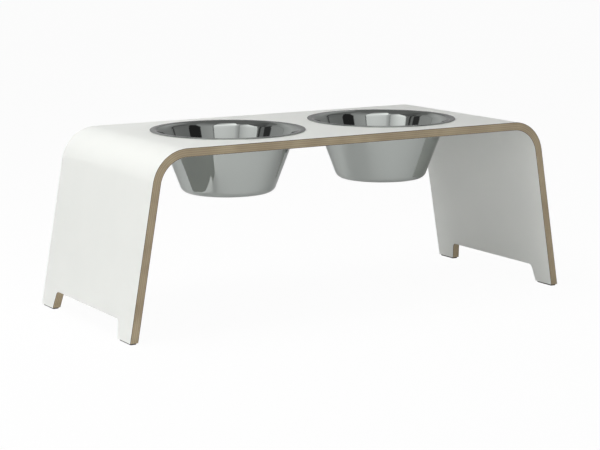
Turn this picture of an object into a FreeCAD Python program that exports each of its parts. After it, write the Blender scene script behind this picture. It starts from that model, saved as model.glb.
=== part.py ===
import FreeCAD, Part
import math
import os
import Sketcher
from FreeCAD import Vector

# Dog feeding station. One board of moulded plywood, faced with laminate on both sides, is bent
# down at both ends into splayed legs. Two drawn steel bowls hang by their rims in its top.
# Frame: +X to the right, front at -Y, +Z up, origin on the floor under the middle of the bench.
# Lengths are in millimetres and angles in degrees.

doc = FreeCAD.newDocument("DogFeedingStation")
sheet = doc.addObject("Spreadsheet::Sheet", "Sizes")

sizes = {
    # lay-up of the board
    "laminate_thickness": 0.8,
    "veneer_thickness": 1.2,
    # bench: the top face's height, the outer radius of the bends, the legs' lean, and the
    # flat board left between the bowls' rims and its sawn edges or its bends
    "bench_height": 213.1,
    "bend_radius": 44.0,
    "leg_splay": 10.0,
    "side_margin": 27.2,
    "end_margin": 24.8,
    # feet: what the notch in the bottom of each leg leaves standing, and the pads under them
    "foot_width": 31.0,
    "notch_height": 21.0,
    "notch_taper": 15.0,
    "notch_corner": 6.0,
    "pad_thickness": 1.6,
    "pad_inset": 1.3,
    "pad_corner": 1.5,
    # bowls: the depth is below the board's top face, the slope is the wall's lean, and the hole
    # clears the neck where that passes through the board's top face
    "rim_diameter": 185.6,
    "bowl_gap": 34.4,
    "bowl_depth": 73.6,
    "wall_slope": 19.7,
    "base_corner": 11.5,
    "flange_width": 5.0,
    "flange_fillet": 9.0,
    "steel_thickness": 0.7,
    "hem_width": 3.0,
    "hole_clearance": 0.43,
    # how far a cut runs past the face that it opens
    "cut_overrun": 5.0,
}
for row, (alias, number) in enumerate(sizes.items(), start=1):
    sheet.set(f"A{row}", alias)
    sheet.set(f"B{row}", str(number))
    sheet.setAlias(f"B{row}", alias)
doc.recompute()

# The lay-up, from the outer face inwards
VENEER_COUNT = 7
VENEERS = [f"veneer_{number + 1}" for number in range(VENEER_COUNT)]
LAYERS = ["outer_laminate", *VENEERS, "inner_laminate"]

# Sizes that follow from the sheet: how deep below the board's outer face each layer begins and
# ends, then the places and sizes that several pieces share
follows = {"depth_0": "0"}
for number, layer in enumerate(LAYERS):
    sheet_size = "veneer_thickness" if layer in VENEERS else "laminate_thickness"
    follows[f"depth_{number + 1}"] = f"depth_{number} + Sizes.{sheet_size}"
follows |= {
    "board_thickness": f"depth_{len(LAYERS)}",
    "rim_radius": "Sizes.rim_diameter / 2",
    "bowl_x": "Sizes.bowl_gap / 2 + rim_radius",
    "mouth_radius": "rim_radius - Sizes.flange_width",
    "neck_reach": "sqrt(2 * Sizes.flange_fillet * Sizes.steel_thickness - Sizes.steel_thickness ^ 2)",
    "hole_radius": "mouth_radius - neck_reach + Sizes.hole_clearance",
    "bench_depth": "Sizes.rim_diameter + 2 * Sizes.side_margin",
    "bend_x": "Sizes.bowl_gap / 2 + Sizes.rim_diameter + Sizes.end_margin",
    "bend_z": "Sizes.bench_height - Sizes.bend_radius",
    "foot_run": "(bend_z - Sizes.pad_thickness) * tan(Sizes.leg_splay)",
    "foot_x": "bend_x + (Sizes.bend_radius - board_thickness / 2) / cos(Sizes.leg_splay) + foot_run",
    "foot_y": "bench_depth / 2 - Sizes.foot_width / 2",
    "notch_flare": "Sizes.cut_overrun * tan(Sizes.notch_taper)",
    "notch_mouth_y": "bench_depth / 2 - Sizes.foot_width + notch_flare",
    "notch_mouth_z": "Sizes.pad_thickness - Sizes.cut_overrun",
    "notch_top_z": "Sizes.pad_thickness + Sizes.notch_height",
    "pad_setback": "Sizes.pad_inset + Sizes.pad_corner",
    "pad_corner_width": "board_thickness / cos(Sizes.leg_splay) - 2 * pad_setback",
    "pad_corner_length": "Sizes.foot_width - 2 * pad_setback",
}
derived = doc.addObject("App::VarSet", "Derived")
for name, expression in follows.items():
    derived.addProperty("App::PropertyFloat", name)
    derived.setExpression(name, expression)
doc.recompute()


def value(name):
    """The number that a size comes to, such as Sizes.bend_radius or Derived.bend_x."""
    holder, field = name.split(".")
    return getattr(doc.getObject(holder), field)


def origin_plane(body, role):
    """One of the body's own origin planes."""
    return next(feature for feature in body.Origin.OriginFeatures if feature.Role == role)


def new_sketch(body, name, role):
    """An empty sketch on one of the body's origin planes."""
    sketch = body.newObject("Sketcher::SketchObject", name)
    sketch.AttachmentSupport = (origin_plane(body, role), [""])
    sketch.MapMode = "FlatFace"
    return sketch


def add_line(sketch, first, last):
    """A straight edge between two (x, y) points of the sketch."""
    return sketch.addGeometry(Part.LineSegment(Vector(*first), Vector(*last)))


def add_arc(sketch, middle, radius, first_angle, last_angle):
    """An arc about a point, anticlockwise between two angles in degrees."""
    circle = Part.Circle(Vector(*middle), Vector(0, 0, 1), radius)
    return sketch.addGeometry(Part.ArcOfCircle(circle, math.radians(first_angle), math.radians(last_angle)))


# The sketch's own axes, which meet at its origin
X_AXIS_INDEX = -1
Y_AXIS_INDEX = -2


def start(edge):
    """The point where an edge begins."""
    return (edge, 1)


def end(edge):
    """The point where an edge ends."""
    return (edge, 2)


def centre(edge):
    """The centre of an arc or circle."""
    return (edge, 3)


def origin():
    """The sketch's origin, where its X axis begins."""
    return start(X_AXIS_INDEX)


def whole(edge):
    """An edge as a whole."""
    return (edge,)


def relate(sketch, kind, *places):
    """A relation between points or edges that holds no size."""
    sketch.addConstraint(Sketcher.Constraint(kind, *sum(places, ())))


def drawn_size(sketch, kind, places):
    """What a size of the sketch measures as it is drawn."""
    if kind == "Radius":
        return sketch.Geometry[places[0][0]].Radius
    if kind == "Angle":
        line = sketch.Geometry[places[0][0]]
        run = line.EndPoint - line.StartPoint
        return math.atan2(run.y, run.x)
    gap = sketch.getPoint(*places[1]) - sketch.getPoint(*places[0])
    return gap.x if kind == "DistanceX" else gap.y


def tie(sketch, expression, kind, *places):
    """A size of the sketch, bound by an expression in place of the number it was drawn with."""
    number = drawn_size(sketch, kind, places)
    index = sketch.addConstraint(Sketcher.Constraint(kind, *sum(places, ()), number))
    sketch.setExpression(f"Constraints[{index}]", expression)


def polar(middle, radius, angle):
    """The (x, y) point at an angle, in degrees, on a circle about a point."""
    turn = math.radians(angle)
    return (middle[0] + radius * math.cos(turn), middle[1] + radius * math.sin(turn))


def draw_half_layer(sketch, outer_depth, inner_depth):
    """Right half of a layer's section, between two depths below the board's outer face.

    All layers bend about one centre, so they nest without gaps.
    """
    splay = value("Sizes.leg_splay")
    bend = (value("Derived.bend_x"), value("Derived.bend_z"))
    foot_z = value("Sizes.pad_thickness")
    radii = [value("Sizes.bend_radius") - value(depth) for depth in (outer_depth, inner_depth)]
    knees = [polar(bend, radius, splay) for radius in radii]
    tops = [polar(bend, radius, 90) for radius in radii]
    feet = [(x + (z - foot_z) * math.tan(math.radians(splay)), foot_z) for x, z in knees]
    face = add_line(sketch, (0, tops[0][1]), tops[0])
    outer_bend = add_arc(sketch, bend, radii[0], splay, 90)
    outer_leg = add_line(sketch, feet[0], knees[0])
    sole = add_line(sketch, feet[0], feet[1])
    inner_leg = add_line(sketch, feet[1], knees[1])
    inner_bend = add_arc(sketch, bend, radii[1], splay, 90)
    underside = add_line(sketch, (0, tops[1][1]), tops[1])
    middle = add_line(sketch, (0, tops[0][1]), (0, tops[1][1]))
    relate(sketch, "Tangent", end(face), end(outer_bend))
    relate(sketch, "Tangent", start(outer_bend), end(outer_leg))
    relate(sketch, "Coincident", start(outer_leg), start(sole))
    relate(sketch, "Coincident", end(sole), start(inner_leg))
    relate(sketch, "Tangent", end(inner_leg), start(inner_bend))
    relate(sketch, "Tangent", end(inner_bend), end(underside))
    relate(sketch, "Coincident", start(underside), end(middle))
    relate(sketch, "Coincident", start(middle), start(face))
    relate(sketch, "Coincident", centre(outer_bend), centre(inner_bend))
    relate(sketch, "PointOnObject", start(middle), whole(Y_AXIS_INDEX))
    relate(sketch, "PointOnObject", end(middle), whole(Y_AXIS_INDEX))
    relate(sketch, "Parallel", whole(outer_leg), whole(inner_leg))
    for edge in (face, sole, underside):
        relate(sketch, "Horizontal", whole(edge))
    tie(sketch, "Derived.bend_x", "DistanceX", origin(), centre(outer_bend))
    tie(sketch, "Derived.bend_z", "DistanceY", origin(), centre(outer_bend))
    tie(sketch, f"Sizes.bend_radius - {outer_depth}", "Radius", whole(outer_bend))
    tie(sketch, f"Sizes.bend_radius - {inner_depth}", "Radius", whole(inner_bend))
    tie(sketch, "90deg + Sizes.leg_splay * 1deg", "Angle", whole(outer_leg))
    tie(sketch, "Sizes.pad_thickness", "DistanceY", origin(), start(sole))


def draw_bowl_hole(sketch):
    """The round hole that one bowl drops into."""
    middle = Vector(value("Derived.bowl_x"), 0)
    hole = sketch.addGeometry(Part.Circle(middle, Vector(0, 0, 1), value("Derived.hole_radius")))
    relate(sketch, "PointOnObject", centre(hole), whole(X_AXIS_INDEX))
    tie(sketch, "Derived.bowl_x", "DistanceX", origin(), centre(hole))
    tie(sketch, "Derived.hole_radius", "Radius", whole(hole))


def draw_foot_notch(sketch):
    """The notch between the two feet of a leg, with leaning sides and round top corners."""
    taper = value("Sizes.notch_taper")
    lean = math.tan(math.radians(taper))
    corner = value("Sizes.notch_corner")
    top_z = value("Derived.notch_top_z")
    bottom = (value("Derived.notch_mouth_y"), value("Derived.notch_mouth_z"))
    centre_z = top_z - corner
    centre_y = bottom[0] - (centre_z - bottom[1]) * lean - corner / math.cos(math.radians(taper))
    shoulder = polar((centre_y, centre_z), corner, taper)
    mouth = add_line(sketch, (-bottom[0], bottom[1]), bottom)
    right_side = add_line(sketch, bottom, shoulder)
    right_corner = add_arc(sketch, (centre_y, centre_z), corner, taper, 90)
    ceiling = add_line(sketch, (centre_y, top_z), (-centre_y, top_z))
    left_corner = add_arc(sketch, (-centre_y, centre_z), corner, 90, 180 - taper)
    left_side = add_line(sketch, (-bottom[0], bottom[1]), (-shoulder[0], shoulder[1]))
    relate(sketch, "Coincident", end(mouth), start(right_side))
    relate(sketch, "Tangent", end(right_side), start(right_corner))
    relate(sketch, "Tangent", end(right_corner), start(ceiling))
    relate(sketch, "Tangent", end(ceiling), start(left_corner))
    relate(sketch, "Tangent", end(left_corner), end(left_side))
    relate(sketch, "Coincident", start(left_side), start(mouth))
    relate(sketch, "Symmetric", start(mouth), end(mouth), whole(Y_AXIS_INDEX))
    relate(sketch, "Equal", whole(right_corner), whole(left_corner))
    relate(sketch, "Horizontal", whole(ceiling))
    tie(sketch, "Derived.notch_mouth_y", "DistanceX", origin(), end(mouth))
    tie(sketch, "Derived.notch_mouth_z", "DistanceY", origin(), end(mouth))
    tie(sketch, "Derived.notch_top_z", "DistanceY", origin(), start(ceiling))
    tie(sketch, "90deg + Sizes.notch_taper * 1deg", "Angle", whole(right_side))
    tie(sketch, "90deg - Sizes.notch_taper * 1deg", "Angle", whole(left_side))
    tie(sketch, "Sizes.notch_corner", "Radius", whole(right_corner))


def add_through_cut(body, sketch, name):
    """A cut through the whole half layer, along the sketch plane's positive normal."""
    cut = body.newObject("PartDesign::Pocket", name)
    cut.Profile = sketch
    cut.Type = "ThroughAll"
    cut.Reversed = True
    return cut


def make_board_layer(label, outer_depth, inner_depth):
    """One sheet of the lay-up: bent section, bowl hole and foot notch, mirrored left to right."""
    body = doc.addObject("PartDesign::Body", label)
    section = new_sketch(body, f"{label}_section", "XZ_Plane")
    draw_half_layer(section, outer_depth, inner_depth)
    half = body.newObject("PartDesign::Pad", f"{label}_half")
    half.Profile = section
    half.SideType = "Symmetric"
    half.setExpression("Length", "Derived.bench_depth")
    hole = new_sketch(body, f"{label}_hole", "XY_Plane")
    draw_bowl_hole(hole)
    add_through_cut(body, hole, f"{label}_hole_cut")
    notch = new_sketch(body, f"{label}_notch", "YZ_Plane")
    draw_foot_notch(notch)
    add_through_cut(body, notch, f"{label}_notch_cut")
    doc.recompute()
    both_halves = body.newObject("PartDesign::Mirrored", f"{label}_both_halves")
    both_halves.TransformMode = "Whole shape"
    both_halves.MirrorPlane = (origin_plane(body, "YZ_Plane"), [""])
    body.Tip = both_halves
    return body


def draw_bowl_section(sketch):
    """Half section of a drawn bowl: flat base, leaning wall, flat flange hemmed under at its edge.

    Drawn about the bowl's own axis, with the hem's underside on the sketch's X axis.
    """
    steel = value("Sizes.steel_thickness")
    fillet = value("Sizes.flange_fillet")
    corner = value("Sizes.base_corner")
    slope = value("Sizes.wall_slope")
    depth = value("Sizes.bowl_depth")
    rim = value("Derived.rim_radius")
    hem = rim - value("Sizes.hem_width")
    turn = math.radians(slope)
    neck = (value("Derived.mouth_radius"), steel - fillet)
    base_z = corner - depth
    base_x = neck[0] - (fillet + corner) / math.cos(turn) - (neck[1] - base_z) * math.tan(turn)
    base = (base_x, base_z)
    axis = add_line(sketch, (0, -depth), (0, steel - depth))
    inner_base = add_line(sketch, (0, steel - depth), (base_x, steel - depth))
    inner_corner = add_arc(sketch, base, corner - steel, -90, -slope)
    inner_heel = polar(base, corner - steel, -slope)
    inner_shoulder = polar(neck, fillet + steel, 180 - slope)
    inner_wall = add_line(sketch, inner_heel, inner_shoulder)
    inner_neck = add_arc(sketch, neck, fillet + steel, 90, 180 - slope)
    flange = add_line(sketch, (neck[0], 2 * steel), (rim - steel, 2 * steel))
    edge = add_arc(sketch, (rim - steel, steel), steel, -90, 90)
    hem_sole = add_line(sketch, (rim - steel, 0), (hem, 0))
    hem_end = add_line(sketch, (hem, 0), (hem, steel))
    under_flange = add_line(sketch, (hem, steel), (neck[0], steel))
    outer_neck = add_arc(sketch, neck, fillet, 90, 180 - slope)
    outer_shoulder = polar(neck, fillet, 180 - slope)
    outer_heel = polar(base, corner, -slope)
    outer_wall = add_line(sketch, outer_shoulder, outer_heel)
    outer_corner = add_arc(sketch, base, corner, -90, -slope)
    outer_base = add_line(sketch, (base_x, -depth), (0, -depth))
    relate(sketch, "Coincident", end(axis), start(inner_base))
    relate(sketch, "Tangent", end(inner_base), start(inner_corner))
    relate(sketch, "Tangent", end(inner_corner), start(inner_wall))
    relate(sketch, "Tangent", end(inner_wall), end(inner_neck))
    relate(sketch, "Tangent", start(inner_neck), start(flange))
    relate(sketch, "Tangent", end(flange), end(edge))
    relate(sketch, "Tangent", start(edge), start(hem_sole))
    relate(sketch, "Coincident", end(hem_sole), start(hem_end))
    relate(sketch, "Coincident", end(hem_end), start(under_flange))
    relate(sketch, "Tangent", end(under_flange), start(outer_neck))
    relate(sketch, "Tangent", end(outer_neck), start(outer_wall))
    relate(sketch, "Tangent", end(outer_wall), end(outer_corner))
    relate(sketch, "Tangent", start(outer_corner), start(outer_base))
    relate(sketch, "Coincident", end(outer_base), start(axis))
    relate(sketch, "Coincident", centre(inner_corner), centre(outer_corner))
    relate(sketch, "Coincident", centre(inner_neck), centre(outer_neck))
    relate(sketch, "PointOnObject", start(axis), whole(Y_AXIS_INDEX))
    relate(sketch, "PointOnObject", end(axis), whole(Y_AXIS_INDEX))
    relate(sketch, "PointOnObject", start(hem_end), whole(X_AXIS_INDEX))
    relate(sketch, "Vertical", whole(hem_end))
    for level in (inner_base, flange, hem_sole, under_flange, outer_base):
        relate(sketch, "Horizontal", whole(level))
    tie(sketch, "Sizes.base_corner", "Radius", whole(outer_corner))
    tie(sketch, "Sizes.base_corner - Sizes.steel_thickness", "Radius", whole(inner_corner))
    tie(sketch, "Sizes.flange_fillet", "Radius", whole(outer_neck))
    tie(sketch, "Sizes.flange_fillet + Sizes.steel_thickness", "Radius", whole(inner_neck))
    tie(sketch, "Sizes.steel_thickness", "Radius", whole(edge))
    tie(sketch, "90deg - Sizes.wall_slope * 1deg", "Angle", whole(inner_wall))
    tie(sketch, "-Sizes.bowl_depth", "DistanceY", origin(), start(axis))
    tie(sketch, "Derived.mouth_radius", "DistanceX", origin(), centre(outer_neck))
    tie(sketch, "Derived.rim_radius - Sizes.steel_thickness", "DistanceX", origin(), centre(edge))
    tie(sketch, "Derived.rim_radius - Sizes.hem_width", "DistanceX", origin(), start(hem_end))


def make_bowl(label, side):
    """A drawn bowl whose hem rests on the board, right (side 1) or left (side -1)."""
    body = doc.addObject("PartDesign::Body", label)
    section = new_sketch(body, f"{label}_section", "XZ_Plane")
    draw_bowl_section(section)
    spun = body.newObject("PartDesign::Revolution", f"{label}_spun")
    spun.Profile = section
    spun.ReferenceAxis = (section, ["V_Axis"])
    body.setExpression("Placement.Base.x", f"{side} * Derived.bowl_x")
    body.setExpression("Placement.Base.z", "Sizes.bench_height")
    return body


def draw_pad_outline(sketch):
    """A strip with round corners, set in from the edges of the foot that it is stuck under."""
    radius = value("Sizes.pad_corner")
    x, y = (value(f"Derived.{span}") / 2 for span in ("pad_corner_width", "pad_corner_length"))
    back_right = add_arc(sketch, (x, y), radius, 0, 90)
    back_side = add_line(sketch, (x, y + radius), (-x, y + radius))
    back_left = add_arc(sketch, (-x, y), radius, 90, 180)
    left_side = add_line(sketch, (-x - radius, y), (-x - radius, -y))
    front_left = add_arc(sketch, (-x, -y), radius, 180, 270)
    front_side = add_line(sketch, (-x, -y - radius), (x, -y - radius))
    front_right = add_arc(sketch, (x, -y), radius, 270, 360)
    right_side = add_line(sketch, (x + radius, -y), (x + radius, y))
    outline = [back_right, back_side, back_left, left_side, front_left, front_side, front_right, right_side]
    for before, after in zip(outline, outline[1:] + outline[:1]):
        relate(sketch, "Tangent", end(before), start(after))
    for corner in (back_left, front_left, front_right):
        relate(sketch, "Equal", whole(back_right), whole(corner))
    for edge in (back_side, front_side):
        relate(sketch, "Horizontal", whole(edge))
    for edge in (left_side, right_side):
        relate(sketch, "Vertical", whole(edge))
    relate(sketch, "Symmetric", centre(back_right), centre(front_left), origin())
    tie(sketch, "Sizes.pad_corner", "Radius", whole(back_right))
    tie(sketch, "Derived.pad_corner_width", "DistanceX", centre(back_left), centre(back_right))
    tie(sketch, "Derived.pad_corner_length", "DistanceY", centre(front_right), centre(back_right))


def make_foot_pad(label, x_side, y_side):
    """A thin pad between one foot and the floor."""
    body = doc.addObject("PartDesign::Body", label)
    outline = new_sketch(body, f"{label}_outline", "XY_Plane")
    draw_pad_outline(outline)
    slab = body.newObject("PartDesign::Pad", f"{label}_slab")
    slab.Profile = outline
    slab.setExpression("Length", "Sizes.pad_thickness")
    body.setExpression("Placement.Base.x", f"{x_side} * Derived.foot_x")
    body.setExpression("Placement.Base.y", f"{y_side} * Derived.foot_y")
    return body


# The board, then what stands under it and what hangs in it
pieces = []
for number, layer in enumerate(LAYERS):
    pieces.append(make_board_layer(layer, f"Derived.depth_{number}", f"Derived.depth_{number + 1}"))
for x_name, x_side in (("left", -1), ("right", 1)):
    for y_name, y_side in (("front", -1), ("back", 1)):
        pieces.append(make_foot_pad(f"foot_pad_{y_name}_{x_name}", x_side, y_side))
    pieces.append(make_bowl(f"bowl_{x_name}", x_side))

doc.recompute()

# Nothing is written unless every object came out whole
for item in doc.Objects:
    if "Invalid" in item.State or "Error" in item.State:
        raise RuntimeError(f"{item.Name} failed: {item.State}")
    if item.TypeId == "Sketcher::SketchObject" and not item.FullyConstrained:
        raise RuntimeError(f"{item.Name} isn't fully constrained")
    if item.TypeId == "PartDesign::Pocket" and item.Shape.Volume >= item.BaseFeature.Shape.Volume:
        raise RuntimeError(f"{item.Name} cuts nothing")
for piece in pieces:
    if piece.Shape.isNull() or not piece.Shape.isValid() or len(piece.Shape.Solids) != 1:
        raise RuntimeError(f"{piece.Label} isn't one sound solid")

os.makedirs("parts", exist_ok=True)
for piece in pieces:
    piece.Shape.exportStep(f"parts/{piece.Label}.step")
    print(f"{piece.Label}: {piece.Shape.Volume:.0f} cubic mm")
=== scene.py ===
import math

import bmesh
import bpy
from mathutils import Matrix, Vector


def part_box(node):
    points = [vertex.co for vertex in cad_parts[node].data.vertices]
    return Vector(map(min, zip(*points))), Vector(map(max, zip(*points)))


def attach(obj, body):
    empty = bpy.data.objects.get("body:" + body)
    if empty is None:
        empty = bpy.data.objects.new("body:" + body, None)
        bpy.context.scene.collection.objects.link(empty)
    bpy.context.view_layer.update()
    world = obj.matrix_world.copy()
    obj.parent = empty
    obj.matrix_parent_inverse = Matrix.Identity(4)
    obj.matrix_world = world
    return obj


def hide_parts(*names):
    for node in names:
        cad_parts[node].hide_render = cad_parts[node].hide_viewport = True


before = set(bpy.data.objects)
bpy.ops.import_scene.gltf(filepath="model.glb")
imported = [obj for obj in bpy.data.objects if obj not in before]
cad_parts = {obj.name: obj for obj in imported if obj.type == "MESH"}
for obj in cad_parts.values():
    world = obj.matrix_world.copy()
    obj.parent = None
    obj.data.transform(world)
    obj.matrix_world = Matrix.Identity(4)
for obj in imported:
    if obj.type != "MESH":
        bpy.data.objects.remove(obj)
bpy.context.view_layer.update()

# The core of the board: seven beech veneers, peeled from the log and laid with the grain crossed.
# A heated press glues and bends them in one go. A saw then cuts the outline, the bowl holes and
# the foot notches through all of them, and the sawn edges are sanded and left bare.
MM = 0.001
BEND_RADIUS = 44 * MM
LEG_SPLAY = math.radians(10)
HOLE_RADIUS = 85.75 * MM
FOOT_WIDTH = 31 * MM
NOTCH_HEIGHT = 21 * MM
NOTCH_TAPER = math.radians(15)
NOTCH_CORNER = 6 * MM
MITRE_HEIGHT = 30 * MM
MERGE_DISTANCE = 0.001 * MM
SHARP_ANGLE = math.radians(30)
BEND_STEPS = 32
HOLE_STEPS = 256
CORNER_STEPS = 10
VENEER_COUNT = 7
FIBRE_LENGTH = 60 * MM
FIBRE_WIDTH = 0.8 * MM
FIBRE_DEPTH = 0.5 * MM
FIBRE_DETAIL = 3.0
FIBRE_RELIEF = 0.05 * MM
FIBRE_RELIEF_SHARE = 0.25
PATCH_SIZE = 35 * MM
PATCH_DETAIL = 2.0
PATCH_SHARE = 0.5
GRAIN_TONE_SHARES = (0.35, 0.65)
LONG_GRAIN_COLOURS = ("#A49478", "#BDAE8F")
CROSS_GRAIN_COLOURS = ("#97866F", "#AFA084")
SANDED_ROUGHNESS = 0.6
BEECH_IOR = 1.5

board_low, board_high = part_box("outer_laminate")
half_depth = board_high.y
foot_z = board_low.z
bend_z = board_high.z - BEND_RADIUS
bend_turn = math.pi / 2 - LEG_SPLAY
bend_path = BEND_RADIUS * bend_turn
bend_x = board_high.x - BEND_RADIUS / math.cos(LEG_SPLAY) - (bend_z - foot_z) * math.tan(LEG_SPLAY)


def leg_run(height):
    """How far down the leg's outer face, from the end of the bend, a height above the floor lies."""
    return (bend_z + BEND_RADIUS * math.sin(LEG_SPLAY) - height) / math.cos(LEG_SPLAY)


def spread(first, last, steps):
    """Evenly spaced numbers from first to last, both included."""
    return [first + (last - first) * step / steps for step in range(steps + 1)]


def arc(middle, radius, first, last, steps):
    """Points on an arc about a point, from one angle to another."""
    return [(middle[0] + radius * math.cos(turn), middle[1] + radius * math.sin(turn))
            for turn in spread(first, last, steps)]


def sawn_rings():
    """The board's outline and its two bowl holes, laid flat, as (path along the board, y) points."""
    corner_z = foot_z + NOTCH_HEIGHT - NOTCH_CORNER
    mouth_y = half_depth - FOOT_WIDTH
    corner_y = mouth_y - (corner_z - foot_z) * math.tan(NOTCH_TAPER) - NOTCH_CORNER / math.cos(NOTCH_TAPER)
    half_end = [(half_depth, foot_z), (mouth_y, foot_z)]
    half_end += arc((corner_y, corner_z), NOTCH_CORNER, NOTCH_TAPER, math.pi / 2, CORNER_STEPS)
    whole_end = half_end + [(-y, z) for y, z in reversed(half_end)]
    right_end = [(bend_x + bend_path + leg_run(z), y) for y, z in whole_end]
    rings = [right_end + [(-path, -y) for path, y in right_end]]
    for bowl in ("bowl_left", "bowl_right"):
        low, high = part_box(bowl)
        middle = (low + high) / 2
        rings.append(arc((middle.x, middle.y), HOLE_RADIUS, 0, 2 * math.pi, HOLE_STEPS)[:-1])
    return rings


def inward(edge):
    """The direction in which a border edge of the flat blank faces the board."""
    along = (edge.verts[1].co - edge.verts[0].co).normalized()
    side = Vector((along.y, -along.x, 0))
    inside = edge.link_faces[0].calc_center_median() - edge.verts[0].co
    return side if side.dot(inside) > 0 else -side


def flat_blank():
    """The sawn board laid flat, scored across where it bends. Border points know which way is in."""
    sheet = bmesh.new()
    border = sheet.verts.layers.float_vector.new("edge_in")
    for ring in sawn_rings():
        corners = [sheet.verts.new((path, y, 0)) for path, y in ring]
        for first, second in zip(corners, corners[1:] + corners[:1]):
            sheet.edges.new((first, second))
    bmesh.ops.triangle_fill(sheet, edges=sheet.edges, use_beauty=True, normal=(0, 0, 1))
    scores = spread(bend_x, bend_x + bend_path, BEND_STEPS) + [bend_x + bend_path + leg_run(MITRE_HEIGHT)]
    for path in scores + [-path for path in scores]:
        everything = sheet.verts[:] + sheet.edges[:] + sheet.faces[:]
        bmesh.ops.bisect_plane(sheet, geom=everything, plane_co=(path, 0, 0), plane_no=(1, 0, 0))
    for vert in sheet.verts:
        ins = [inward(edge) for edge in vert.link_edges if edge.is_boundary]
        vert[border] = (ins[0] + ins[1]) / (1 + ins[0].dot(ins[1])) if ins else Vector()
    mesh = bpy.data.meshes.new("flat_blank")
    sheet.to_mesh(mesh)
    sheet.free()
    return mesh


def add_node(tree, kind, inputs=None, **settings):
    """Adds a node with its settings and inputs.

    An input, by name or place, is a value, a node, a socket or a list of nodes.
    """
    node = tree.nodes.new(kind)
    for name, setting in settings.items():
        setattr(node, name, setting)
    for place, given in (inputs or {}).items():
        for source in given if isinstance(given, list) else [given]:
            if isinstance(source, bpy.types.Node):
                source = next(socket for socket in source.outputs if socket.enabled)
            if isinstance(source, bpy.types.NodeSocket):
                tree.links.new(source, node.inputs[place])
            else:
                node.inputs[place].default_value = source
    return node


def new_tree(name, sockets):
    """An empty tree of geometry nodes with named inputs, and its input sockets."""
    tree = bpy.data.node_groups.new(name, "GeometryNodeTree")
    tree.interface.new_socket("Geometry", in_out="OUTPUT", socket_type="NodeSocketGeometry")
    tree.interface.new_socket("Geometry", in_out="INPUT", socket_type="NodeSocketGeometry")
    tree.interface.new_socket("Material", in_out="INPUT", socket_type="NodeSocketMaterial")
    for socket, kind in sockets.items():
        tree.interface.new_socket(socket, in_out="INPUT", socket_type=f"NodeSocket{kind}")
    return tree, tree.nodes.new("NodeGroupInput").outputs


def end_tree(tree, shape, material):
    """Closes a tree: what it made becomes one plain mesh with its material."""
    plain = add_node(tree, "GeometryNodeRealizeInstances", {"Geometry": shape})
    painted = add_node(tree, "GeometryNodeSetMaterial", {"Geometry": plain, "Material": material})
    add_node(tree, "NodeGroupOutput", {"Geometry": painted})


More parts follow.
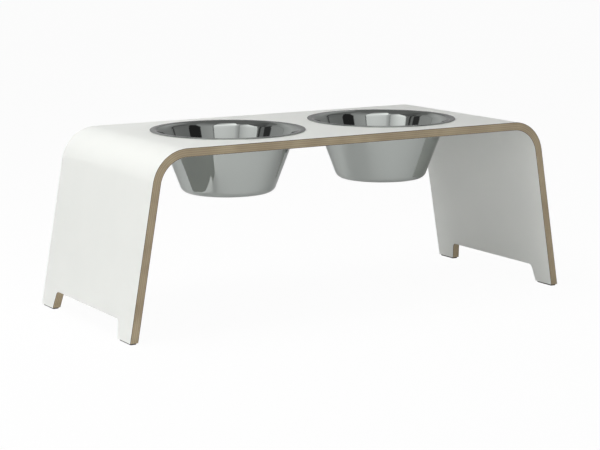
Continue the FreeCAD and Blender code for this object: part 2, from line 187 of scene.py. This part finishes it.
def press_tree():
    """Gives a flat blank its thickness, eases the edge of its show face and bends it down into legs."""
    lengths = ("Bend Start", "Bend End", "Bend Radius", "Bend Turn", "Leg Slope", "Mitre Run",
               "Thickness", "Back Depth", "Show Depth", "Arris")
    tree, size = new_tree("Press and bend", {"Bend Centre": "Vector"} | {name: "Float" for name in lengths})

    # The blank is the back face. It is raised to the show face, whose border is drawn in by the arris.
    upright = add_node(tree, "ShaderNodeMath", {
        0: size["Thickness"], 1: size["Arris"]}, operation="SUBTRACT")
    wall = add_node(tree, "GeometryNodeExtrudeMesh", {
        "Mesh": size["Geometry"], "Offset Scale": upright, "Individual": False})
    eased = add_node(tree, "GeometryNodeExtrudeMesh", {
        "Mesh": wall, "Selection": wall.outputs["Top"], "Offset Scale": size["Arris"], "Individual": False})
    edge_in = add_node(tree, "GeometryNodeInputNamedAttribute", {
        "Name": "edge_in"}, data_type="FLOAT_VECTOR")
    inset = add_node(tree, "ShaderNodeVectorMath", {0: edge_in, "Scale": size["Arris"]}, operation="SCALE")
    face = add_node(tree, "GeometryNodeSetPosition", {
        "Geometry": eased, "Selection": eased.outputs["Top"], "Offset": inset})
    back = add_node(tree, "GeometryNodeFlipFaces", {"Mesh": size["Geometry"]})
    both = add_node(tree, "GeometryNodeJoinGeometry", {"Geometry": [back, face]})
    shell = add_node(tree, "GeometryNodeMergeByDistance", {"Geometry": both, "Distance": MERGE_DISTANCE})

    # Each point keeps its place on the flat board and its depth under the show face, for the materials.
    flat = add_node(tree, "ShaderNodeSeparateXYZ", {0: add_node(tree, "GeometryNodeInputPosition")}).outputs
    depth = add_node(tree, "ShaderNodeMapRange", {
        "Value": flat["Z"], "From Max": size["Thickness"],
        "To Min": size["Back Depth"], "To Max": size["Show Depth"]})
    unrolled = add_node(tree, "ShaderNodeCombineXYZ", {"X": flat["X"], "Y": flat["Y"], "Z": depth})
    grained = add_node(tree, "GeometryNodeStoreNamedAttribute", {
        "Geometry": shell, "Name": "unrolled", "Value": unrolled}, data_type="FLOAT_VECTOR")
    below = add_node(tree, "ShaderNodeMath", {0: size["Thickness"], 1: flat["Z"]}, operation="SUBTRACT")
    layered = add_node(tree, "GeometryNodeStoreNamedAttribute", {
        "Geometry": grained, "Name": "below_face", "Value": below}, data_type="FLOAT")

    # Past the start of the bend a point swings round its centre, and past the end it runs straight on.
    # Towards the feet the run is mitred, so that the sawn ends lie level on the floor.
    path = add_node(tree, "ShaderNodeMath", {0: flat["X"]}, operation="ABSOLUTE")
    on_arc = add_node(tree, "ShaderNodeClamp", {
        "Value": path, "Min": size["Bend Start"], "Max": size["Bend End"]})
    straight = add_node(tree, "ShaderNodeMath", {0: path, 1: on_arc}, operation="SUBTRACT")
    turn = add_node(tree, "ShaderNodeMapRange", {
        "Value": path, "From Min": size["Bend Start"], "From Max": size["Bend End"],
        "To Max": size["Bend Turn"]})
    slope = add_node(tree, "ShaderNodeMapRange", {
        "Value": straight, "From Max": size["Mitre Run"], "To Max": size["Leg Slope"]})
    mitre = add_node(tree, "ShaderNodeMath", {0: depth, 1: slope}, operation="MULTIPLY")
    run = add_node(tree, "ShaderNodeMath", {0: straight, 1: mitre}, operation="SUBTRACT")
    reach = add_node(tree, "ShaderNodeMath", {0: size["Bend Radius"], 1: depth}, operation="SUBTRACT")
    arm = add_node(tree, "ShaderNodeCombineXYZ", {"X": run, "Y": flat["Y"], "Z": reach})
    swung = add_node(tree, "ShaderNodeVectorRotate", {"Vector": arm, "Angle": turn}, rotation_type="Y_AXIS")
    right = add_node(tree, "ShaderNodeVectorMath", {0: swung, 1: size["Bend Centre"]}, operation="ADD")
    side = add_node(tree, "ShaderNodeMath", {0: flat["X"]}, operation="SIGN")
    mirror = add_node(tree, "ShaderNodeCombineXYZ", {"X": side, "Y": 1.0, "Z": 1.0})
    bent = add_node(tree, "ShaderNodeVectorMath", {0: right, 1: mirror}, operation="MULTIPLY")
    board = add_node(tree, "GeometryNodeSetPosition", {"Geometry": layered, "Position": bent})
    end_tree(tree, board, size["Material"])
    return tree


def make_piece(name, source, tree, values):
    """Runs a tree on a mesh with the given inputs, and keeps the result as a piece with a plain mesh."""
    piece = bpy.data.objects.new(name, source)
    bpy.context.scene.collection.objects.link(piece)
    modifier = piece.modifiers.new(tree.name, "NODES")
    modifier.node_group = tree
    for socket in tree.interface.items_tree:
        if socket.in_out == "INPUT" and socket.name in values:
            modifier[socket.identifier] = values[socket.name]
    graph = bpy.context.evaluated_depsgraph_get()
    made = bpy.data.meshes.new_from_object(
        piece.evaluated_get(graph), preserve_all_data_layers=True, depsgraph=graph)
    piece.modifiers.remove(modifier)
    piece.data = made
    made.name = name
    shell = bmesh.new()
    shell.from_mesh(made)
    bmesh.ops.recalc_face_normals(shell, faces=shell.faces)
    shell.to_mesh(made)
    shell.free()
    made.shade_smooth()
    made.set_sharp_from_angle(angle=SHARP_ANGLE)
    return piece


def linear(code):
    """An sRGB hex colour as linear red, green, blue and alpha."""
    shares = [int(code[place:place + 2], 16) / 255 for place in (1, 3, 5)]
    light = [share / 12.92 if share <= 0.04045 else ((share + 0.055) / 1.055) ** 2.4 for share in shares]
    return (*light, 1.0)


def new_material(name):
    """An empty material, its tree and its shader."""
    material = bpy.data.materials.new(name)
    material.use_nodes = True
    return material, material.node_tree, material.node_tree.nodes["Principled BSDF"]


def beech_veneer(name, grain_x, grain_y, colours):
    """Beech, sanded and bare: pale tan with a silky grain, darker where the saw met it end on."""
    material, tree, shader = new_material(name)
    place = add_node(tree, "ShaderNodeAttribute", attribute_name="unrolled").outputs["Vector"]
    fibres = add_node(tree, "ShaderNodeMapping", {
        "Vector": place, "Scale": (1 / grain_x, 1 / grain_y, 1 / FIBRE_DEPTH)})
    streak = add_node(tree, "ShaderNodeTexNoise", {
        "Vector": fibres, "Scale": 1.0, "Detail": FIBRE_DETAIL})
    patch = add_node(tree, "ShaderNodeTexNoise", {
        "Vector": place, "Scale": 1 / PATCH_SIZE, "Detail": PATCH_DETAIL})
    tone = add_node(tree, "ShaderNodeMix", {
        "Factor": PATCH_SHARE, "A": streak, "B": patch}, data_type="FLOAT")
    colour = add_node(tree, "ShaderNodeValToRGB", {"Fac": tone})
    for element, tone_share, code in zip(colour.color_ramp.elements, GRAIN_TONE_SHARES, colours):
        element.position = tone_share
        element.color = linear(code)
    tree.links.new(colour.outputs["Color"], shader.inputs["Base Color"])
    relief = add_node(tree, "ShaderNodeBump", {
        "Strength": FIBRE_RELIEF_SHARE, "Distance": FIBRE_RELIEF, "Height": streak})
    tree.links.new(relief.outputs["Normal"], shader.inputs["Normal"])
    shader.inputs["Roughness"].default_value = SANDED_ROUGHNESS
    shader.inputs["IOR"].default_value = BEECH_IOR
    return material


long_grain = beech_veneer("beech_long_grain", FIBRE_LENGTH, FIBRE_WIDTH, LONG_GRAIN_COLOURS)
cross_grain = beech_veneer("beech_cross_grain", FIBRE_WIDTH, FIBRE_LENGTH, CROSS_GRAIN_COLOURS)

veneers = [f"veneer_{number}" for number in range(1, VENEER_COUNT + 1)]
core = [*veneers, "inner_laminate"]
top_depth = {layer: board_high.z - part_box(layer)[1].z for layer in core}
blank = flat_blank()
press = press_tree()
bend = {
    "Bend Centre": Vector((bend_x, 0, bend_z)),
    "Bend Start": bend_x,
    "Bend End": bend_x + bend_path,
    "Bend Radius": BEND_RADIUS,
    "Bend Turn": bend_turn,
    "Leg Slope": math.tan(LEG_SPLAY),
    "Mitre Run": leg_run(MITRE_HEIGHT),
}
for number, layer in enumerate(veneers):
    show_depth = top_depth[layer]
    back_depth = top_depth[core[number + 1]]
    veneer = make_piece(f"beech_{layer}", blank, press, bend | {
        "Thickness": back_depth - show_depth,
        "Back Depth": back_depth,
        "Show Depth": show_depth,
        "Arris": 0.0,
        "Material": cross_grain if number % 2 else long_grain,
    })
    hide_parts(layer)
    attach(veneer, "bench")

# The two facings: sheets of white high-pressure laminate, pressed onto the veneers in the same mould.
# A film of white décor paper lies on a core of resin-soaked brown paper, which shows as a thin dark
# line along every sawn edge. The edge of each face is eased by hand with fine paper.
DECOR_FILM = 0.12 * MM
EDGE_EASE = 0.25 * MM
PEARL_SIZE = 0.7 * MM
PEARL_DETAIL = 2.0
PEARL_RELIEF = 0.02 * MM
PEARL_RELIEF_SHARE = 0.06
CLOUD_SIZE = 60 * MM
CLOUD_DETAIL = 2.0
DECOR_WHITE = "#E3E5E1"
DECOR_PALE_WHITE = "#E9EAE6"
CUT_BROWN = "#5E4A3A"
SATIN_ROUGHNESS_LOW = 0.36
SATIN_ROUGHNESS_HIGH = 0.46
MELAMINE_IOR = 1.5


def white_laminate():
    """Décor paper under melamine: satin white with a faint pearl texture, brown where it is cut."""
    material, tree, shader = new_material("white_high_pressure_laminate")
    depth = add_node(tree, "ShaderNodeAttribute", attribute_name="below_face").outputs["Fac"]
    cut = add_node(tree, "ShaderNodeMath", {0: depth, 1: DECOR_FILM}, operation="GREATER_THAN")
    place = add_node(tree, "ShaderNodeAttribute", attribute_name="unrolled").outputs["Vector"]
    pearl = add_node(tree, "ShaderNodeTexNoise", {
        "Vector": place, "Scale": 1 / PEARL_SIZE, "Detail": PEARL_DETAIL})
    cloud = add_node(tree, "ShaderNodeTexNoise", {
        "Vector": place, "Scale": 1 / CLOUD_SIZE, "Detail": CLOUD_DETAIL})
    white = add_node(tree, "ShaderNodeMix", {
        "Factor": cloud, "A": linear(DECOR_WHITE), "B": linear(DECOR_PALE_WHITE)}, data_type="RGBA")
    colour = add_node(tree, "ShaderNodeMix", {
        "Factor": cut, "A": white, "B": linear(CUT_BROWN)}, data_type="RGBA")
    tree.links.new(colour.outputs["Result"], shader.inputs["Base Color"])
    gloss = add_node(tree, "ShaderNodeMapRange", {
        "Value": pearl, "To Min": SATIN_ROUGHNESS_LOW, "To Max": SATIN_ROUGHNESS_HIGH})
    tree.links.new(gloss.outputs["Result"], shader.inputs["Roughness"])
    relief = add_node(tree, "ShaderNodeBump", {
        "Strength": PEARL_RELIEF_SHARE, "Distance": PEARL_RELIEF, "Height": pearl})
    tree.links.new(relief.outputs["Normal"], shader.inputs["Normal"])
    shader.inputs["IOR"].default_value = MELAMINE_IOR
    return material


laminate_thickness = top_depth["veneer_1"]
facing_depths = {
    "outer_laminate": (laminate_thickness, 0.0),
    "inner_laminate": (top_depth["inner_laminate"], top_depth["inner_laminate"] + laminate_thickness),
}
facing = white_laminate()
for layer, (back_depth, show_depth) in facing_depths.items():
    laminate = make_piece(f"white_{layer}", blank, press, bend | {
        "Thickness": laminate_thickness,
        "Back Depth": back_depth,
        "Show Depth": show_depth,
        "Arris": EDGE_EASE,
        "Material": facing,
    })
    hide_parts(layer)
    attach(laminate, "bench")

# The bowls: discs of stainless sheet, deep drawn over a punch, trimmed, hemmed under at the rim and
# polished inside and out. Each hangs loose in its hole by the hem and lifts straight out. Section and
# hole follow the photograph a little closer than the solids do, and lie within about 1 mm of them.
STEEL_THICKNESS = 0.7 * MM
WALL_SLOPE = math.radians(20.6)
BASE_CORNER = 10 * MM
FLANGE_WIDTH = 4 * MM
FLANGE_FILLET = 9 * MM
HEM_WIDTH = 3 * MM
SECTION_STEP = 2.5 * MM
FILLET_STEPS = 24
HEM_STEPS = 12
BOWL_TURN_STEPS = 320
POLISH_PATCH = 18 * MM
POLISH_DETAIL = 3.0
POLISH_ROUGHNESS_LOW = 0.03
POLISH_ROUGHNESS_HIGH = 0.07
STEEL_GREY = "#AFB3B0"
LOW_GLANCE_SHADE_GREY = "#DADADA"


def bowl_section(rim, depth):
    """Half a section, from the axis underneath to the axis inside, as (radius, height over the board)."""
    neck = (rim - FLANGE_WIDTH, STEEL_THICKNESS - FLANGE_FILLET)
    base_z = BASE_CORNER - depth
    base_x = neck[0] - (FLANGE_FILLET + BASE_CORNER) / math.cos(WALL_SLOPE)
    base_x -= (neck[1] - base_z) * math.tan(WALL_SLOPE)
    base = (base_x, base_z)
    edge = (rim - STEEL_THICKNESS, STEEL_THICKNESS)
    quarter = math.pi / 2
    wall_turn = math.pi - WALL_SLOPE
    stretches = [
        [(0, -depth)],
        arc(base, BASE_CORNER, -quarter, -WALL_SLOPE, FILLET_STEPS),
        arc(neck, FLANGE_FILLET, wall_turn, quarter, FILLET_STEPS),
        [(rim - HEM_WIDTH, STEEL_THICKNESS), (rim - HEM_WIDTH, 0)],
        arc(edge, STEEL_THICKNESS, -quarter, quarter, HEM_STEPS),
        arc(neck, FLANGE_FILLET + STEEL_THICKNESS, quarter, wall_turn, FILLET_STEPS),
        arc(base, BASE_CORNER - STEEL_THICKNESS, -WALL_SLOPE, -quarter, FILLET_STEPS),
        [(0, STEEL_THICKNESS - depth)],
    ]
    return [point for stretch in stretches for point in stretch]


def section_line(name, points):
    """A section as a mesh of edges, none longer than the section step."""
    line = [points[0]]
    for first, last in zip(points, points[1:]):
        steps = max(1, math.ceil(math.dist(first, last) / SECTION_STEP))
        line += list(zip(spread(first[0], last[0], steps), spread(first[1], last[1], steps)))[1:]
    mesh = bpy.data.meshes.new(name)
    mesh.from_pydata([(x, z, 0) for x, z in line], [(n, n + 1) for n in range(len(line) - 1)], [])
    return mesh


def spin_tree():
    """Spins a half section, drawn as (radius, height), about its axis and puts it in its place."""
    tree, size = new_tree("Spin and place", {"Rim Radius": "Float", "Turn Steps": "Int", "Place": "Vector"})
    ring = add_node(tree, "GeometryNodeCurvePrimitiveCircle", {
        "Resolution": size["Turn Steps"], "Radius": size["Rim Radius"]}, mode="RADIUS")
    upright = add_node(tree, "GeometryNodeSetCurveNormal", {"Curve": ring}, mode="Z_UP")
    line = add_node(tree, "GeometryNodeMeshToCurve", {"Mesh": size["Geometry"]})
    drawn = add_node(tree, "GeometryNodeTransform", {"Geometry": line, "Scale": (1, -1, 1)})
    inwards = add_node(tree, "ShaderNodeMath", {0: size["Rim Radius"], 1: -1.0}, operation="MULTIPLY")
    shift = add_node(tree, "ShaderNodeCombineXYZ", {"X": inwards})
    profile = add_node(tree, "GeometryNodeTransform", {"Geometry": drawn, "Translation": shift})
    spun = add_node(tree, "GeometryNodeCurveToMesh", {"Curve": upright, "Profile Curve": profile})
    closed = add_node(tree, "GeometryNodeMergeByDistance", {"Geometry": spun, "Distance": MERGE_DISTANCE})
    here = add_node(tree, "GeometryNodeInputPosition")
    marked = add_node(tree, "GeometryNodeStoreNamedAttribute", {
        "Geometry": closed, "Name": "from_axis", "Value": here}, data_type="FLOAT_VECTOR")
    placed = add_node(tree, "GeometryNodeSetPosition", {"Geometry": marked, "Offset": size["Place"]})
    end_tree(tree, placed, size["Material"])
    return tree


def polished_steel():
    """Stainless steel, mirror polished on a spinning wheel: cool grey reflections, hardly blurred.

    They dim again at a low glance, partly as on real steel and partly as painted shade, which draws a dark
    line round the bowl.
    """
    material, tree, shader = new_material("mirror_polished_stainless_steel")
    shader.inputs["Metallic"].default_value = 1.0
    shader.inputs["Base Color"].default_value = linear(STEEL_GREY)
    # Partly painted shade: the specular tint dims the reflections at a low glance to draw the dark line
    # round the bowl.
    shader.inputs["Specular Tint"].default_value = linear(LOW_GLANCE_SHADE_GREY)
    place = add_node(tree, "ShaderNodeAttribute", attribute_name="from_axis").outputs["Vector"]
    smear = add_node(tree, "ShaderNodeTexNoise", {
        "Vector": place, "Scale": 1 / POLISH_PATCH, "Detail": POLISH_DETAIL})
    gloss = add_node(tree, "ShaderNodeMapRange", {
        "Value": smear, "To Min": POLISH_ROUGHNESS_LOW, "To Max": POLISH_ROUGHNESS_HIGH})
    tree.links.new(gloss.outputs["Result"], shader.inputs["Roughness"])
    return material


spin = spin_tree()
steel = polished_steel()
for side in ("left", "right"):
    bowl_low, bowl_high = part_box(f"bowl_{side}")
    bowl_middle = (bowl_low + bowl_high) / 2
    rim_radius = bowl_high.x - bowl_middle.x
    section = section_line(f"bowl_section_{side}", bowl_section(rim_radius, board_high.z - bowl_low.z))
    bowl = make_piece(f"steel_bowl_{side}", section, spin, {
        "Rim Radius": rim_radius,
        "Turn Steps": BOWL_TURN_STEPS,
        "Place": Vector((bowl_middle.x, bowl_middle.y, board_high.z)),
        "Material": steel,
    })
    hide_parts(f"bowl_{side}")
    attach(bowl, f"{side}_bowl")

# The four foot pads: strips of black rubber with round corners, stamped from sheet and stuck under
# the sawn ends of the legs so that the bench doesn't slide or scratch the floor.
PAD_EDGE = 0.2 * MM
PAD_CORNER = 1.5 * MM
PAD_CORNER_STEPS = 12
RUBBER_GRAIN = 0.4 * MM
RUBBER_DETAIL = 2.0
RUBBER_RELIEF = 0.03 * MM
RUBBER_RELIEF_SHARE = 0.4
RUBBER_BLACK = "#1B1B1C"
DUSTY_BLACK = "#333334"
RUBBER_ROUGHNESS = 0.8
RUBBER_IOR = 1.52
pad_names = [f"foot_pad_{y_side}_{x_side}" for x_side in ("left", "right") for y_side in ("front", "back")]


def pad_tree():
    """Stamps a strip with round corners and an eased lower edge, and sets one under each point of a mesh."""
    lengths = ("Width", "Length", "Thickness", "Edge", "Corner Radius")
    tree, size = new_tree("Stamp and stick", {name: "Float" for name in lengths} | {
        "Corner Steps": "Int", "Tread Share": "Vector"})
    strip = add_node(tree, "GeometryNodeCurvePrimitiveQuadrilateral", {
        "Width": size["Width"], "Height": size["Length"]})
    rounded = add_node(tree, "GeometryNodeFilletCurve", {
        "Curve": strip, "Count": size["Corner Steps"], "Radius": size["Corner Radius"]}, mode="POLY")
    sole = add_node(tree, "GeometryNodeFillCurve", {"Curve": rounded}, mode="NGONS")
    upright = add_node(tree, "ShaderNodeMath", {0: size["Thickness"], 1: size["Edge"]}, operation="SUBTRACT")
    wall = add_node(tree, "GeometryNodeExtrudeMesh", {
        "Mesh": sole, "Offset Scale": upright, "Individual": False})
    eased = add_node(tree, "GeometryNodeExtrudeMesh", {
        "Mesh": wall, "Selection": wall.outputs["Top"], "Offset Scale": size["Edge"], "Individual": False})
    place = add_node(tree, "GeometryNodeInputPosition")
    shrunk = add_node(tree, "ShaderNodeVectorMath", {0: place, 1: size["Tread Share"]}, operation="MULTIPLY")
    tread = add_node(tree, "GeometryNodeSetPosition", {
        "Geometry": eased, "Selection": eased.outputs["Top"], "Position": shrunk})
    glued = add_node(tree, "GeometryNodeFlipFaces", {"Mesh": sole})
    both = add_node(tree, "GeometryNodeJoinGeometry", {"Geometry": [glued, tread]})
    pad = add_node(tree, "GeometryNodeMergeByDistance", {"Geometry": both, "Distance": MERGE_DISTANCE})
    upside_down = add_node(tree, "GeometryNodeTransform", {"Geometry": pad, "Rotation": (math.pi, 0, 0)})
    four = add_node(tree, "GeometryNodeInstanceOnPoints", {
        "Points": size["Geometry"], "Instance": upside_down})
    end_tree(tree, four, size["Material"])
    return tree


def black_rubber():
    """Moulded rubber sheet: near black, matt, with a fine grain and a little dust in it."""
    material, tree, shader = new_material("black_rubber_sheet")
    place = add_node(tree, "ShaderNodeTexCoord").outputs["Object"]
    grain = add_node(tree, "ShaderNodeTexNoise", {
        "Vector": place, "Scale": 1 / RUBBER_GRAIN, "Detail": RUBBER_DETAIL})
    colour = add_node(tree, "ShaderNodeMix", {
        "Factor": grain, "A": linear(RUBBER_BLACK), "B": linear(DUSTY_BLACK)}, data_type="RGBA")
    tree.links.new(colour.outputs["Result"], shader.inputs["Base Color"])
    relief = add_node(tree, "ShaderNodeBump", {
        "Strength": RUBBER_RELIEF_SHARE, "Distance": RUBBER_RELIEF, "Height": grain})
    tree.links.new(relief.outputs["Normal"], shader.inputs["Normal"])
    shader.inputs["Roughness"].default_value = RUBBER_ROUGHNESS
    shader.inputs["IOR"].default_value = RUBBER_IOR
    return material


pad_boxes = [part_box(name) for name in pad_names]
pad_size = pad_boxes[0][1] - pad_boxes[0][0]
feet = bpy.data.meshes.new("foot_points")
feet.from_pydata([((low.x + high.x) / 2, (low.y + high.y) / 2, high.z) for low, high in pad_boxes], [], [])
pads = make_piece("rubber_foot_pads", feet, pad_tree(), {
    "Width": pad_size.x,
    "Length": pad_size.y,
    "Thickness": pad_size.z,
    "Edge": PAD_EDGE,
    "Corner Radius": PAD_CORNER,
    "Corner Steps": PAD_CORNER_STEPS,
    "Tread Share": Vector((1 - 2 * PAD_EDGE / pad_size.x, 1 - 2 * PAD_EDGE / pad_size.y, 1)),
    "Material": black_rubber(),
})
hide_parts(*pad_names)
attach(pads, "bench")

# The studio: a wide pale floor, which reads white and keeps a soft shadow, under four soft boxes.
# White, grey and black cards stand round it, as for any polished metal, and only the gloss sees them.
# The camera stands where the photograph was taken from.
FLOOR_HALF = 14.0
FLOOR_WHITE = "#EEEEEE"
GLOW_WHITE = "#FFFFFF"
FLOOR_GLOW = 0.96
# The steel mirrors the floor with a painted pool of light, a glow that fades out from its middle.
PAINTED_POOL_GLOW = 0.48
PAINTED_POOL_MIDDLE = (-0.2, -0.15, 0.0)
PAINTED_POOL_NEAR = 0.1
PAINTED_POOL_FAR = 1.2
CARD_DISTANCE = 9.0
CARD_STEPS = 12
SKY_MIDDLE_SHARE = 0.4
SKY_GREYS = ("#AAAAAA", "#8C8C8C", "#828282")
CAMERA_TURN = math.radians(-31.626)
CAMERA_RISE = math.radians(10.144)
CAMERA_TARGET = Vector((-9.03, 0.27, 88.73)) * MM
CAMERA_DISTANCE = 2153.5 * MM
CAMERA_LENS_MM = 104.97
CAMERA_SENSOR_MM = 36


def heading(turn, rise):
    """A direction from the object: turn is counted from the front to the right, and rise from the floor."""
    return Vector((math.sin(turn) * math.cos(rise), -math.cos(turn) * math.cos(rise), math.sin(rise)))


floor_mesh = bpy.data.meshes.new("floor")
floor_corners = [(x * FLOOR_HALF, y * FLOOR_HALF, 0) for x, y in ((-1, -1), (1, -1), (1, 1), (-1, 1))]
floor_mesh.from_pydata(floor_corners, [], [(0, 1, 2, 3)])
floor = bpy.data.objects.new("floor", floor_mesh)
bpy.context.scene.collection.objects.link(floor)
paper = bpy.data.materials.new("white_studio_paper")
paper.use_nodes = True
paper_tree = paper.node_tree
paper_tree.nodes.clear()
lit = add_node(paper_tree, "ShaderNodeBsdfDiffuse", {"Color": linear(FLOOR_WHITE)})
glow = add_node(paper_tree, "ShaderNodeEmission", {"Color": linear(GLOW_WHITE), "Strength": 1.0})
ray = add_node(paper_tree, "ShaderNodeLightPath").outputs
in_steel = add_node(paper_tree, "ShaderNodeMath", {
    0: ray["Is Glossy Ray"], 1: ray["Is Transmission Ray"]}, operation="MAXIMUM")
# Painted pool of light: the floor's glow in the steel is strongest at the pool's middle and fades out from
# there.
floor_place = add_node(paper_tree, "ShaderNodeTexCoord").outputs["Object"]
from_middle = add_node(paper_tree, "ShaderNodeVectorMath", {
    0: floor_place, 1: PAINTED_POOL_MIDDLE}, operation="DISTANCE")
painted_pool = add_node(paper_tree, "ShaderNodeMapRange", {
    "Value": from_middle.outputs["Value"], "From Min": PAINTED_POOL_NEAR, "From Max": PAINTED_POOL_FAR,
    "To Min": PAINTED_POOL_GLOW, "To Max": 0.0}, interpolation_type="SMOOTHSTEP")
steel_share = add_node(paper_tree, "ShaderNodeMath", {0: in_steel, 1: painted_pool}, operation="MULTIPLY")
share = add_node(paper_tree, "ShaderNodeMath", {
    0: ray["Is Camera Ray"], 1: FLOOR_GLOW, 2: steel_share}, operation="MULTIPLY_ADD")
mixed = add_node(paper_tree, "ShaderNodeMixShader", {0: share, 1: lit, 2: glow})
add_node(paper_tree, "ShaderNodeOutputMaterial", {"Surface": mixed})
floor_mesh.materials.append(paper)

card_paper, card_tree, card_shader = new_material("studio_cards")
card_tree.nodes.remove(card_shader)
card_light = add_node(card_tree, "ShaderNodeAttribute", attribute_name="light").outputs["Fac"]
card_glow = add_node(card_tree, "ShaderNodeEmission", {"Color": linear(GLOW_WHITE), "Strength": card_light})
card_tree.links.new(card_glow.outputs["Emission"], card_tree.nodes["Material Output"].inputs["Surface"])

# Each card is given level by level, from its lower edge up, as the rise over the floor, the first and
# the last turn, all in degrees, and the first and the last strength of its light.
cards = {
    "left_white_card": (
        (5, -88, -52, 1.1, 0.6), (31, -88, -52, 1.1, 0.6), (36, -82, -53, 2.0, 0.8),
        (46, -78, -56, 1.8, 0.7), (58, -80, -66, 0.6, 0.4)),
    "front_shaded_card": (
        (5, -52, -43, 0.5, 0.9), (34, -52, -43, 0.5, 0.9), (46, -56, -48, 0.5, 1.2),
        (58, -66, -52, 0.4, 1.2)),
    "front_white_card": (
        (5, -43, -3, 0.9, 1.0), (34, -43, -3, 0.9, 1.0), (40, -47, -2, 1.3, 1.8),
        (57, -52, -3, 2.1, 0.9), (70, -58, -1, 1.6, 0.5), (78, -62, 0, 0.8, 0.4)),
    "front_grey_card": (
        (5, -1, 22, 0.65, 0.5), (34, -1, 23, 0.6, 0.5), (52, 0, 43, 0.45, 0.45),
        (60, 2, 60, 0.35, 0.4), (72, 8, 100, 0.3, 0.3)),
    "right_black_card": (
        (5, 22, 47, 0.03, 0.03), (33, 24, 48, 0.03, 0.03), (45, 36, 59, 0.03, 0.03),
        (54, 50, 68, 0.03, 0.03)),
    "right_black_strip": (
        (5, 82, 86, 0.1, 0.1), (21, 82, 86, 0.1, 0.1), (33, 95, 101, 0.1, 0.1),
        (41, 99, 107, 0.1, 0.1), (51, 68, 88, 0.1, 0.1)),
    "right_pale_card": (
        (5, 88, 145, 0.35, 0.35), (21, 91, 145, 0.35, 0.55), (33, 104, 142, 0.35, 0.75),
        (52, 110, 132, 0.35, 0.4)),
    "back_grey_card": (
        (3, 146, 157, 0.35, 0.55), (20, 146, 157, 0.4, 0.55)),
    "back_pale_card": (
        (3, -203, -178, 0.6, 0.8), (35, -203, -178, 0.65, 0.75), (46, -186, -178, 0.3, 0.35)),
    "left_back_card": (
        (3, -178, -147, 0.8, 0.6), (35, -178, -149, 0.75, 0.5), (46, -178, -146, 0.4, 0.4)),
    "left_grey_card": (
        (5, -147, -117, 0.5, 0.45), (30, -147, -117, 0.5, 0.45), (46, -146, -138, 0.4, 0.4)),
    "left_black_card": (
        (5, -116, -101, 0.05, 0.05), (30, -116, -102, 0.05, 0.05), (40, -132, -122, 0.1, 0.1)),
    "left_black_strip": (
        (5, -92, -88, 0.06, 0.06), (28, -92, -88, 0.06, 0.06), (34, -104, -97, 0.06, 0.06),
        (46, -123, -112, 0.06, 0.06)),
    "left_dark_card": (
        (33, -95, -90, 0.15, 0.15), (46, -111, -81, 0.15, 0.15), (54, -165, -84, 0.1, 0.2),
        (68, -180, -105, 0.2, 0.25)),
}
for name, levels in cards.items():
    corners = []
    strengths = []
    for rise, first_turn, last_turn, first_strength, last_strength in levels:
        turns = spread(math.radians(first_turn), math.radians(last_turn), CARD_STEPS)
        corners += [heading(turn, math.radians(rise)) * CARD_DISTANCE for turn in turns]
        strengths += spread(first_strength, last_strength, CARD_STEPS)
    row = CARD_STEPS + 1
    fields = [(n, n + 1, n + 1 + row, n + row) for n in range(len(corners) - row) if (n + 1) % row]
    card_mesh = bpy.data.meshes.new(name)
    card_mesh.from_pydata(corners, [], fields)
    glows = card_mesh.attributes.new("light", "FLOAT", "POINT")
    glows.data.foreach_set("value", strengths)
    card_mesh.materials.append(card_paper)
    card = bpy.data.objects.new(name, card_mesh)
    bpy.context.scene.collection.objects.link(card)
    card.visible_camera = False
    card.visible_diffuse = False
    card.visible_shadow = False

world = bpy.data.worlds.new("studio")
world.use_nodes = True
world_tree = world.node_tree
towards = add_node(world_tree, "ShaderNodeTexCoord").outputs["Generated"]
height = add_node(world_tree, "ShaderNodeSeparateXYZ", {0: towards}).outputs["Z"]
sky = add_node(world_tree, "ShaderNodeValToRGB", {"Fac": height})
sky.color_ramp.elements.new(SKY_MIDDLE_SHARE)
for element, code in zip(sky.color_ramp.elements, SKY_GREYS):
    element.color = linear(code)
world_tree.links.new(sky.outputs["Color"], world_tree.nodes["Background"].inputs["Color"])
bpy.context.scene.world = world

# Each soft box is given as its place and its width, in metres, and its watts, and faces the object.
soft_boxes = {
    "left_soft_box": ((-1.5, -0.3, 1.1), 1.0, 7),
    "top_soft_box": ((-0.5, 0.1, 1.3), 0.8, 10),
    "front_soft_box": ((-2.0, -2.2, 0.8), 1.5, 17),
    "right_soft_box": ((2.2, -1.2, 0.5), 1.0, 8),
}
for name, (place, width, watts) in soft_boxes.items():
    light = bpy.data.lights.new(name, "AREA")
    light.size = width
    light.energy = watts
    lamp = bpy.data.objects.new(name, light)
    lamp.location = place
    lamp.rotation_euler = (-lamp.location).to_track_quat("-Z", "Y").to_euler()
    lamp.visible_camera = False
    lamp.visible_glossy = False
    bpy.context.scene.collection.objects.link(lamp)

lens = bpy.data.cameras.new("camera")
lens.lens = CAMERA_LENS_MM
lens.sensor_width = CAMERA_SENSOR_MM
camera = bpy.data.objects.new("camera", lens)
away = heading(CAMERA_TURN, CAMERA_RISE)
camera.location = CAMERA_TARGET + away * CAMERA_DISTANCE
camera.rotation_euler = (-away).to_track_quat("-Z", "Y").to_euler()
bpy.context.scene.collection.objects.link(camera)
bpy.context.scene.camera = camera
bpy.context.scene.view_settings.view_transform = "Standard"
